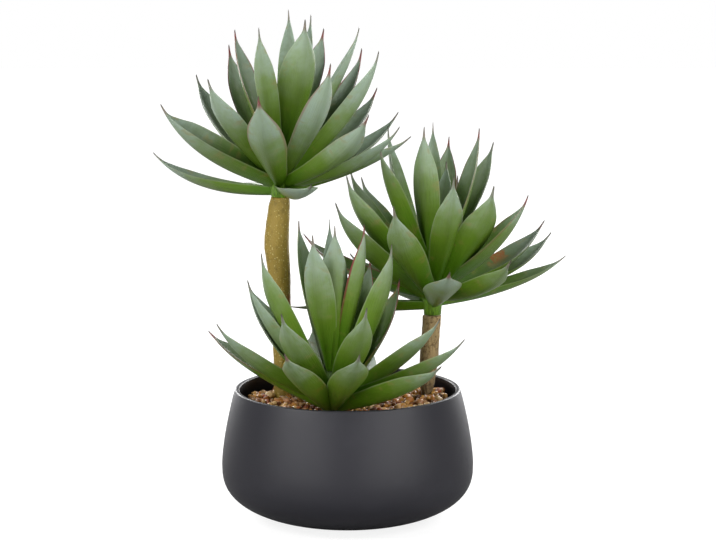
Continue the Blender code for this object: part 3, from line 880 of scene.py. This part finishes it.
def smooth_row(table, key, value):
    """The row of a table at a value of its column key, on the smooth curve through its rows."""
    final = len(table) - 1
    i = max(k for k in range(final) if table[k][key] <= value or k == 0)
    before, start, end, after = (table[max(0, min(final, k))] for k in (i - 1, i, i + 1, i + 2))
    span = end[key] - start[key]
    t = (value - start[key]) / span
    row = []
    for column in range(len(start)):
        start_slope = (end[column] - before[column]) / (end[key] - before[key])
        end_slope = (after[column] - start[column]) / (after[key] - start[key])
        row.append(
            (2 * t**3 - 3 * t**2 + 1) * start[column]
            + (t**3 - 2 * t**2 + t) * span * start_slope
            + (3 * t**2 - 2 * t**3) * end[column]
            + (t**3 - t**2) * span * end_slope
        )
    return row


def make_piece(name, bm, material, sharp_degrees=None):
    """Closes the bmesh into a smooth-shaded piece of the visual model."""
    bmesh.ops.recalc_face_normals(bm, faces=bm.faces)
    mesh = bpy.data.meshes.new(name)
    bm.to_mesh(mesh)
    bm.free()
    mesh.materials.append(material)
    mesh.shade_smooth()
    if sharp_degrees:
        mesh.set_sharp_from_angle(angle=math.radians(sharp_degrees))
    piece = bpy.data.objects.new(name, mesh)
    bpy.context.scene.collection.objects.link(piece)
    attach(piece, "root")
    return piece


def skin_rings(bm, rings, close_last=True):
    """Faces between rings of equal length, a cap on the first and, if asked, on the last."""
    for first, second in zip(rings, rings[1:]):
        for i in range(len(first)):
            j = (i + 1) % len(first)
            bm.faces.new((first[i], first[j], second[j], second[i]))
    bm.faces.new(rings[0])
    if close_last:
        bm.faces.new(rings[-1])


def circle(bm, centre, radius, sides):
    ring = []
    for i in range(sides):
        angle = 2 * math.pi * i / sides
        offset = Vector((radius * math.cos(angle), radius * math.sin(angle), 0))
        ring.append(bm.verts.new(Vector(centre) + offset))
    return ring


def outside_radius(height):
    """The pot's outer radius at a height."""
    if height < POT_BELLY_HEIGHT:
        cosine = (1 - height / POT_BELLY_HEIGHT) ** (1 / BELLY_RISING)
        sine = math.sqrt(max(0.0, 1 - cosine**2))
        return POT_FOOT_RADIUS + (POT_RADIUS - POT_FOOT_RADIUS) * sine**BELLY_WIDENING
    share = (height - POT_BELLY_HEIGHT) / (POT_HEIGHT - POT_BELLY_HEIGHT)
    return POT_RADIUS - (POT_RADIUS - POT_RIM_RADIUS) * share**SIDE_POWER


def pot_outline():
    """(radius, height) from the foot up outside, over the lip and down to the floor."""
    outline = []
    for i in range(BELLY_STEPS):
        angle = 0.5 * math.pi * i / BELLY_STEPS
        height = POT_BELLY_HEIGHT * (1 - math.cos(angle) ** BELLY_RISING)
        outline.append((outside_radius(height), height))
    side_top = POT_HEIGHT - POT_LIP
    for i in range(SIDE_STEPS):
        height = POT_BELLY_HEIGHT + (side_top - POT_BELLY_HEIGHT) * i / SIDE_STEPS
        outline.append((outside_radius(height), height))
    lip_middle = POT_RIM_RADIUS - POT_WALL / 2
    for i in range(LIP_STEPS + 1):
        angle = math.pi * i / LIP_STEPS
        radius = lip_middle + POT_WALL / 2 * math.cos(angle)
        outline.append((radius, side_top + POT_LIP * math.sin(angle)))
    for i in range(1, INSIDE_STEPS + 1):
        height = side_top + (POT_FLOOR - side_top) * i / INSIDE_STEPS
        corner = POT_FLOOR_CORNER if i == INSIDE_STEPS else 0
        outline.append((outside_radius(height) - POT_WALL - corner, height))
    return outline


def make_pot(material):
    bm = bmesh.new()
    rings = []
    for radius, height in pot_outline():
        rings.append(circle(bm, (0, 0, height), radius, POT_SIDES))
    skin_rings(bm, rings)
    pot = make_piece("pot_bowl", bm, material, POT_SHARP_DEGREES)
    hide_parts("pot")


def lumpiness(place, closeness):
    """Noise at a place, with its own closeness along each axis."""
    return noise.noise(Vector([part * close for part, close in zip(place, closeness)]))


def make_trunk(name, material):
    """A tube with lumps and furrows in its bark, inside the plain trunk's outline or near it."""
    points = TRUNKS[name]
    bottom, top = points[0][2], points[-1][2]
    steps = round((top - bottom) / TRUNK_RING_STEP)
    lump = BARK_LUMP[BARKS[name]]
    bm = bmesh.new()
    rings = []
    for i in range(steps + 1):
        x, y, z, radius = smooth_row(points, 2, bottom + (top - bottom) * i / steps)
        ring = []
        for k in range(TRUNK_SIDES):
            angle = 2 * math.pi * k / TRUNK_SIDES
            out = Vector((math.cos(angle), math.sin(angle), 0))
            centre = Vector((x, y, z))
            where = centre + out * radius
            lumpy = lumpiness(where, BROAD_LUMPS) + FINE_LUMP_SHARE * lumpiness(where, FINE_LUMPS)
            ring.append(bm.verts.new(centre + out * (radius + lump * (lumpy - LUMP_SINKING))))
        rings.append(ring)
    skin_rings(bm, rings)
    trunk = make_piece(name + "_bark", bm, material)
    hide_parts(name)


def stone_height(place, rng):
    """Where a stone's middle lies over a place on the gravel, and how much of it stays."""
    away = (place - DIP_PLACE).length
    dip = max(0.0, 1 - (away - DIP_BARE) / (DIP_RADIUS - DIP_BARE))
    heaped = 0.0
    for centre, radius, lift in HEAPS:
        heaped += lift * max(0.0, 1 - (place - centre).length / radius)
    lifted = rng.uniform(*STONE_LIFT) * (1 - min(1.0, dip)) + heaped
    return GRAVEL_TOP + lifted, 1 - DIP_SHRINKING * min(1.0, dip)


def add_stone(bm, rng, centre, radius, tone_layer):
    """A worn stone with soft edges, squashed and lying at a tilt."""
    made = bmesh.ops.create_icosphere(bm, subdivisions=2, radius=1)["verts"]
    shape = Vector((1, rng.uniform(*STONE_WIDTH), rng.uniform(*STONE_THICKNESS)))
    tilts = [rng.uniform(-STONE_TILT, STONE_TILT) for _ in range(2)]
    turn = Euler((*tilts, rng.uniform(0, 2 * math.pi))).to_matrix()
    seed = Vector([rng.uniform(0, STONE_NOISE_SPAN) for _ in range(3)])
    tone = rng.random()
    for vert in made:
        bumps = sum(noise.noise(vert.co * close + seed) * high for close, high in STONE_BUMPS)
        bulge = 1 + STONE_UNEVENNESS * bumps
        vert[tone_layer] = tone
        vert.co = centre + turn @ (vert.co * bulge * shape * radius)


def make_gravel(material):
    """The bed, dark with painted shade between the stones, the stones in a sunflower spiral all
    over it, and bare rings round the trunks.
    """
    rng = random.Random(STONE_SEED)
    bm = bmesh.new()
    # The bed keeps tone 0, which the pebble material paints as shade between the stones.
    tone_layer = bm.verts.layers.float.new("stone")
    rings = []
    for height in (GRAVEL_BOTTOM, GRAVEL_TOP):
        radius = outside_radius(height) - POT_WALL - WALL_CLEARANCE
        rings.append(circle(bm, (0, 0, height), radius, POT_SIDES))
    skin_rings(bm, rings)
    trunk_places = [(Vector(points[1][:2]), points[1][3]) for points in TRUNKS.values()]
    for i in range(STONE_COUNT):
        distance = STONE_SPREAD * math.sqrt((i + 0.5) / STONE_COUNT)
        angle = i * GOLDEN_ANGLE + rng.uniform(-STONE_STRAY, STONE_STRAY)
        place = Vector((distance * math.cos(angle), distance * math.sin(angle)))
        radius = rng.uniform(*STONE_RADIUS)
        gap = STONE_TRUNK_GAP * radius
        if any((place - trunk).length < size + gap for trunk, size in trunk_places):
            continue
        if (place - DIP_PLACE).length < DIP_BARE:
            continue
        height, kept = stone_height(place, rng)
        reach = outside_radius(height) - POT_WALL - WALL_CLEARANCE - radius * kept
        if place.length > reach:
            place *= reach / place.length
        add_stone(bm, rng, Vector((*place, height)), radius * kept, tone_layer)
    gravel = make_piece("gravel_stones", bm, material)
    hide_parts("gravel")


def make_core(name, plan, material):
    """The neck and the short stem that the leaves grow from."""
    crown = Vector(plan["crown"])
    neck_length, neck_radius = plan["neck"]
    outline = [(neck_radius, -neck_length)]
    outline += [(radius, share * plan["core"]) for radius, share in CORE_OUTLINE]
    bm = bmesh.new()
    rings = []
    for radius, height in outline:
        rings.append(circle(bm, crown + Vector((0, 0, height)), radius, CORE_SIDES))
    skin_rings(bm, rings)
    core = make_piece(name + "_core", bm, material)
    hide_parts(name)


def leaf_section():
    """Points round a leaf's section, each (share across, 1 if on the underside)."""
    upper = [(across, 0) for across in LEAF_ACROSS]
    lower = [(across, 1) for across in reversed(LEAF_ACROSS[1:-1])]
    return upper + lower


def add_leaf(bm, layers, root, sag, fold, shape, looks, number):
    """One blade, with smooth outlines through the stations and a rounded channel."""
    bearing, rise, reach, width, turn = shape
    heading = math.radians(bearing)
    lift = math.radians(rise)
    outward = Vector((math.cos(heading), math.sin(heading), 0))
    along = outward * math.cos(lift) + Vector((0, 0, math.sin(lift)))
    across = Vector((0, 0, 1)).cross(outward)
    up = along.cross(across)

    def centre(share):
        uneven = SAG_NEAR_ROOT + (SAG_NEAR_TIP - SAG_NEAR_ROOT) * share
        return root + reach * (along * share - up * sag * 4 * share * (1 - share) * uneven)

    def marked(vert, share, place_across, under):
        marks = {"along": share, "across": place_across, "under": under, **looks}
        for label, mark in marks.items():
            vert[layers[label]] = mark
        from_middle = place_across * width * MILLIMETRES / 2
        from_root = share * reach * MILLIMETRES
        vert[layers["blade"]] = Vector((from_middle, from_root, number * GRAIN_APART))
        return vert

    rings = []
    for i in range(LEAF_STEPS):
        share = 1 - (1 - i / LEAF_STEPS) ** LEAF_CROWDING
        _, spread, cup, thick = smooth_row(LEAF_STATIONS, 0, share)
        ahead = (centre(share + SLOPE_STEP) - centre(share - SLOPE_STEP)).normalized()
        side = Quaternion(ahead, math.radians(turn)) @ across
        normal = ahead.cross(side)
        half = 0.5 * width * spread
        ring = []
        for place_across, under in leaf_section():
            out = abs(place_across)
            rise_here = fold * cup * half * out**LEAF_CHANNEL
            if under:
                rise_here -= LEAF_EDGE + (thick - LEAF_EDGE) * (1 - out**LEAF_BELLY)
            elif out == 1:
                rise_here -= LEAF_EDGE / 2
            place = centre(share) + side * half * place_across + normal * rise_here
            ring.append(marked(bm.verts.new(place), share, place_across, under))
        rings.append(ring)
    skin_rings(bm, rings, close_last=False)
    tip = marked(bm.verts.new(centre(1)), 1, 0, 0)
    final = rings[-1]
    for i in range(len(final)):
        bm.faces.new((final[i], final[(i + 1) % len(final)], tip))


def make_leaves(name, plan, material, rng):
    """A piece for each tier of a head's leaves."""
    crown = Vector(plan["crown"])
    number = 0
    for tier, (height, sag, fold, places) in plan["tiers"].items():
        bm = bmesh.new()
        layers = {}
        for label in LEAF_LABELS:
            layers[label] = bm.verts.layers.float.new(label)
        layers["blade"] = bm.verts.layers.float_vector.new("blade")
        for bearing, rise, reach, width, turn in places:
            heading = math.radians(bearing)
            offset = Vector((math.cos(heading), math.sin(heading), 0)) * ROOT_RADIUS
            root = crown + offset + Vector((0, 0, height))
            usual = (rng.uniform(*USUAL_BLUSH), 0.0, *NO_PATCH)
            blush, more_bloom, patch, patch_size = LEAF_MARKS.get((name, bearing, rise), usual)
            tone = HEAD_BLOOM[name] + more_bloom + rng.uniform(-BLOOM_VARIES, BLOOM_VARIES)
            looks = {"tone": tone, "blush": blush, "patch": patch, "patch_size": patch_size}
            shape = (bearing, rise, reach / MILLIMETRES, width / MILLIMETRES, turn)
            add_leaf(bm, layers, root, sag, fold, shape, looks, number)
            number += 1
        make_piece(name + "_" + tier, bm, material, LEAF_SHARP_DEGREES)


def make_plant(materials):
    for name in TRUNKS:
        make_trunk(name, materials[BARKS[name]])
    for seed, (name, plan) in enumerate(HEADS.items()):
        make_core(name, plan, materials["core"])
        make_leaves(name, plan, materials["leaf"], random.Random(seed))


def to_camera_or_plant(tree, for_camera, for_plant):
    """A strength of light: one value as the camera sees it, another as it lights the plant."""
    seen = add(tree, "ShaderNodeLightPath").outputs["Is Camera Ray"]
    values = {"Value": seen, "To Min": for_plant, "To Max": for_camera}
    return add(tree, "ShaderNodeMapRange", values).outputs[0]


def make_stage():
    """A plain pale floor, open on every side."""
    corners = []
    for x, y in ((-1, -1), (1, -1), (1, 1), (-1, 1)):
        corners.append((x * FLOOR_HALF, y * FLOOR_HALF, 0))
    mesh = bpy.data.meshes.new("floor")
    mesh.from_pydata(corners, [], [(0, 1, 2, 3)])
    floor = bpy.data.objects.new("floor", mesh)
    bpy.context.scene.collection.objects.link(floor)
    material, tree, shader = new_material("floor_pale")
    shader.inputs["Base Color"].default_value = FLOOR_COLOUR
    shader.inputs["Roughness"].default_value = FLOOR_ROUGHNESS
    shader.inputs["Emission Color"].default_value = WHITE
    values = {0: place_in_object(tree)}
    away = add(tree, "ShaderNodeVectorMath", values, operation="LENGTH").outputs["Value"]
    glow = stepped(tree, away, *FLOOR_REACH, *FLOOR_GLOW)
    shine = stepped(tree, away, *FLOOR_REACH, *FLOOR_SHINE)
    tree.links.new(to_camera_or_plant(tree, glow, shine), shader.inputs["Emission Strength"])
    mesh.materials.append(material)


def add_softbox(name, place, size, power):
    """A wide lamp that faces the plant's middle."""
    lamp = bpy.data.lights.new(name, "AREA")
    lamp.shape = "RECTANGLE"
    lamp.size, lamp.size_y = size
    lamp.energy = power
    box = bpy.data.objects.new(name, lamp)
    turn = (Vector(PLANT_MIDDLE) - Vector(place)).to_track_quat("-Z", "Y").to_matrix()
    box.matrix_world = Matrix.Translation(Vector(place)) @ turn.to_4x4()
    bpy.context.scene.collection.objects.link(box)


def make_lights():
    """Softboxes in a room that is white to the camera.  To the plant it is brighter behind."""
    for name, (place, size, power) in SOFTBOXES.items():
        add_softbox(name, place, size, power)
    world = bpy.data.worlds.new("studio")
    world.use_nodes = True
    tree = world.node_tree
    direction = add(tree, "ShaderNodeTexCoord").outputs["Generated"]
    behind = add(tree, "ShaderNodeSeparateXYZ", {"Vector": direction}).outputs["Y"]
    shine = stepped(tree, behind, *ROOM_BEHIND, *ROOM_SHINE)
    room = tree.nodes["Background"]
    room.inputs["Color"].default_value = WHITE
    tree.links.new(to_camera_or_plant(tree, 1.0, shine), room.inputs["Strength"])
    bpy.context.scene.world = world
    bpy.context.scene.view_settings.view_transform = "Standard"


def make_camera():
    lens = bpy.data.cameras.new("photo_camera")
    lens.lens = CAMERA_LENS
    camera = bpy.data.objects.new("photo_camera", lens)
    camera.location = CAMERA_PLACE
    camera.rotation_euler = (math.radians(CAMERA_TILT_DEGREES), 0, 0)
    bpy.context.scene.collection.objects.link(camera)
    bpy.context.scene.camera = camera


make_camera()
make_stage()
make_lights()
finishes = make_materials()
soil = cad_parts["soil"]
soil.data.materials.clear()
soil.data.materials.append(finishes["soil"])
make_pot(finishes["pot"])
make_gravel(finishes["pebble"])
make_plant(finishes)
